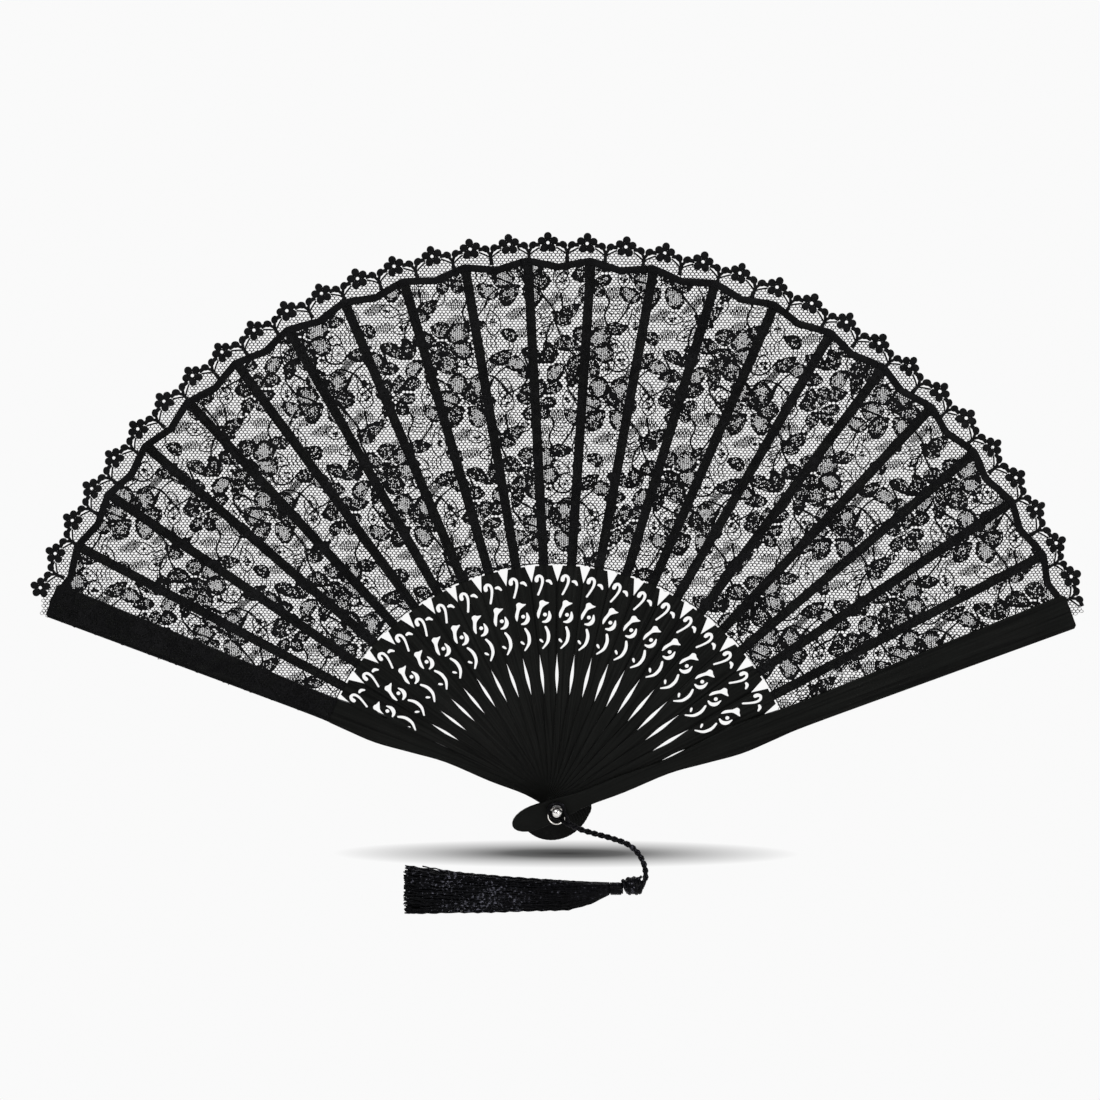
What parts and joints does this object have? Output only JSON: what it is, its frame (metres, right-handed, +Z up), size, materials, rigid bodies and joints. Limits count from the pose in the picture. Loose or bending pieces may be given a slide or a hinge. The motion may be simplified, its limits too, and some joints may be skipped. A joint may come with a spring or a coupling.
{
  "type": "hand fan",
  "caption": "Folding hand fan with pierced wooden sticks and guards, a pleated lace leaf with scalloped trim, a ball-headed pin, and a corded tassel.",
  "frame": {"origin": "on the pin's axis, in the plane of the back guard's outer face", "axes": "+Z up the middle of the open fan, +X towards the front guard's side, +Y out of the back; the front faces -Y"},
  "size_m": [0.4118, 0.0282, 0.265],
  "materials": {
    "sticks": "satin black stain over fine grain",
    "guards": "satin black stain over fine grain",
    "lace": "black lace net with sewn motifs",
    "pin": "polished, slightly uneven",
    "washers": "plain",
    "ring": "polished wire",
    "cord": "twisted silky black cord",
    "tassel": "silky black threads"
  },
  "bodies": {
    "back_guard": {"back_guard": "guards", "pivot_pin": "pin", "front_washer": "washers", "back_washer": "washers", "leaf_01": "lace"},
    "stick_01": {"stick_01": "sticks", "leaf_02": "lace"},
    "stick_02": {"stick_02": "sticks", "leaf_03": "lace"},
    "stick_03": {"stick_03": "sticks", "leaf_04": "lace"},
    "stick_04": {"stick_04": "sticks", "leaf_05": "lace"},
    "stick_05": {"stick_05": "sticks", "leaf_06": "lace"},
    "stick_06": {"stick_06": "sticks", "leaf_07": "lace"},
    "stick_07": {"stick_07": "sticks", "leaf_08": "lace"},
    "stick_08": {"stick_08": "sticks", "leaf_09": "lace"},
    "stick_09": {"stick_09": "sticks", "leaf_10": "lace"},
    "stick_10": {"stick_10": "sticks", "leaf_11": "lace"},
    "stick_11": {"stick_11": "sticks", "leaf_12": "lace"},
    "stick_12": {"stick_12": "sticks", "leaf_13": "lace"},
    "stick_13": {"stick_13": "sticks", "leaf_14": "lace"},
    "stick_14": {"stick_14": "sticks", "leaf_15": "lace"},
    "stick_15": {"stick_15": "sticks", "leaf_16": "lace"},
    "stick_16": {"stick_16": "sticks", "leaf_17": "lace"},
    "stick_17": {"stick_17": "sticks", "leaf_18": "lace"},
    "stick_18": {"stick_18": "sticks", "leaf_19": "lace"},
    "stick_19": {"stick_19": "sticks", "leaf_20": "lace"},
    "stick_20": {"stick_20": "sticks", "leaf_21": "lace"},
    "front_guard": {"front_guard": "guards"},
    "ring": {"cord_ring": "ring"},
    "cord": {"cord": "cord"},
    "tassel": {"tassel_head": "tassel", "tassel_binding": "tassel", "tassel_skirt": "tassel"}
  },
  "joints": [
    {"name": "fold_01", "type": "hinge", "parent": "back_guard", "child": "stick_01", "pos_m": [0, 0, 0], "axis": [0, -1, 0], "range_deg": [0, 6.5]},
    {"name": "fold_02", "type": "hinge", "parent": "stick_01", "child": "stick_02", "pos_m": [0, 0, 0], "axis": [0, -1, 0], "range_deg": [0, 6.5]},
    {"name": "fold_03", "type": "hinge", "parent": "stick_02", "child": "stick_03", "pos_m": [0, 0, 0], "axis": [0, -1, 0], "range_deg": [0, 6.5]},
    {"name": "fold_04", "type": "hinge", "parent": "stick_03", "child": "stick_04", "pos_m": [0, 0, 0], "axis": [0, -1, 0], "range_deg": [0, 6.5]},
    {"name": "fold_05", "type": "hinge", "parent": "stick_04", "child": "stick_05", "pos_m": [0, 0, 0], "axis": [0, -1, 0], "range_deg": [0, 6.5]},
    {"name": "fold_06", "type": "hinge", "parent": "stick_05", "child": "stick_06", "pos_m": [0, 0, 0], "axis": [0, -1, 0], "range_deg": [0, 6.5]},
    {"name": "fold_07", "type": "hinge", "parent": "stick_06", "child": "stick_07", "pos_m": [0, 0, 0], "axis": [0, -1, 0], "range_deg": [0, 6.5]},
    {"name": "fold_08", "type": "hinge", "parent": "stick_07", "child": "stick_08", "pos_m": [0, 0, 0], "axis": [0, -1, 0], "range_deg": [0, 6.5]},
    {"name": "fold_09", "type": "hinge", "parent": "stick_08", "child": "stick_09", "pos_m": [0, 0, 0], "axis": [0, -1, 0], "range_deg": [0, 6.5]},
    {"name": "fold_10", "type": "hinge", "parent": "stick_09", "child": "stick_10", "pos_m": [0, 0, 0], "axis": [0, -1, 0], "range_deg": [0, 6.5]},
    {"name": "fold_11", "type": "hinge", "parent": "stick_10", "child": "stick_11", "pos_m": [0, 0, 0], "axis": [0, -1, 0], "range_deg": [0, 6.5]},
    {"name": "fold_12", "type": "hinge", "parent": "stick_11", "child": "stick_12", "pos_m": [0, 0, 0], "axis": [0, -1, 0], "range_deg": [0, 6.5]},
    {"name": "fold_13", "type": "hinge", "parent": "stick_12", "child": "stick_13", "pos_m": [0, 0, 0], "axis": [0, -1, 0], "range_deg": [0, 6.5]},
    {"name": "fold_14", "type": "hinge", "parent": "stick_13", "child": "stick_14", "pos_m": [0, 0, 0], "axis": [0, -1, 0], "range_deg": [0, 6.5]},
    {"name": "fold_15", "type": "hinge", "parent": "stick_14", "child": "stick_15", "pos_m": [0, 0, 0], "axis": [0, -1, 0], "range_deg": [0, 6.5]},
    {"name": "fold_16", "type": "hinge", "parent": "stick_15", "child": "stick_16", "pos_m": [0, 0, 0], "axis": [0, -1, 0], "range_deg": [0, 6.5]},
    {"name": "fold_17", "type": "hinge", "parent": "stick_16", "child": "stick_17", "pos_m": [0, 0, 0], "axis": [0, -1, 0], "range_deg": [0, 6.5]},
    {"name": "fold_18", "type": "hinge", "parent": "stick_17", "child": "stick_18", "pos_m": [0, 0, 0], "axis": [0, -1, 0], "range_deg": [0, 6.5]},
    {"name": "fold_19", "type": "hinge", "parent": "stick_18", "child": "stick_19", "pos_m": [0, 0, 0], "axis": [0, -1, 0], "range_deg": [0, 6.5]},
    {"name": "fold_20", "type": "hinge", "parent": "stick_19", "child": "stick_20", "pos_m": [0, 0, 0], "axis": [0, -1, 0], "range_deg": [0, 6.5]},
    {"name": "fold_21", "type": "hinge", "parent": "stick_20", "child": "front_guard", "pos_m": [0, 0, 0], "axis": [0, -1, 0], "range_deg": [0, 6.5]},
    {"name": "ring_swing", "type": "hinge", "parent": "back_guard", "child": "ring", "pos_m": [0, -0.0209, 0], "axis": [0, -1, 0], "range_deg": [-60, 60]},
    {"name": "cord_swing", "type": "hinge", "parent": "back_guard", "child": "cord", "pos_m": [0, -0.022, 0], "axis": [0, -1, 0], "range_deg": [-45, 45]},
    {"name": "tassel_swing", "type": "hinge", "parent": "cord", "child": "tassel", "pos_m": [0.0349, -0.0238, -0.0268], "axis": [0, -1, 0], "range_deg": [-10, 100]}
  ],
  "couplings": [
    {"joint": "fold_02", "follows": "fold_01", "ratio": 1},
    {"joint": "fold_03", "follows": "fold_01", "ratio": 1},
    {"joint": "fold_04", "follows": "fold_01", "ratio": 1},
    {"joint": "fold_05", "follows": "fold_01", "ratio": 1},
    {"joint": "fold_06", "follows": "fold_01", "ratio": 1},
    {"joint": "fold_07", "follows": "fold_01", "ratio": 1},
    {"joint": "fold_08", "follows": "fold_01", "ratio": 1},
    {"joint": "fold_09", "follows": "fold_01", "ratio": 1},
    {"joint": "fold_10", "follows": "fold_01", "ratio": 1},
    {"joint": "fold_11", "follows": "fold_01", "ratio": 1},
    {"joint": "fold_12", "follows": "fold_01", "ratio": 1},
    {"joint": "fold_13", "follows": "fold_01", "ratio": 1},
    {"joint": "fold_14", "follows": "fold_01", "ratio": 1},
    {"joint": "fold_15", "follows": "fold_01", "ratio": 1},
    {"joint": "fold_16", "follows": "fold_01", "ratio": 1},
    {"joint": "fold_17", "follows": "fold_01", "ratio": 1},
    {"joint": "fold_18", "follows": "fold_01", "ratio": 1},
    {"joint": "fold_19", "follows": "fold_01", "ratio": 1},
    {"joint": "fold_20", "follows": "fold_01", "ratio": 1},
    {"joint": "fold_21", "follows": "fold_01", "ratio": 1}
  ]
}
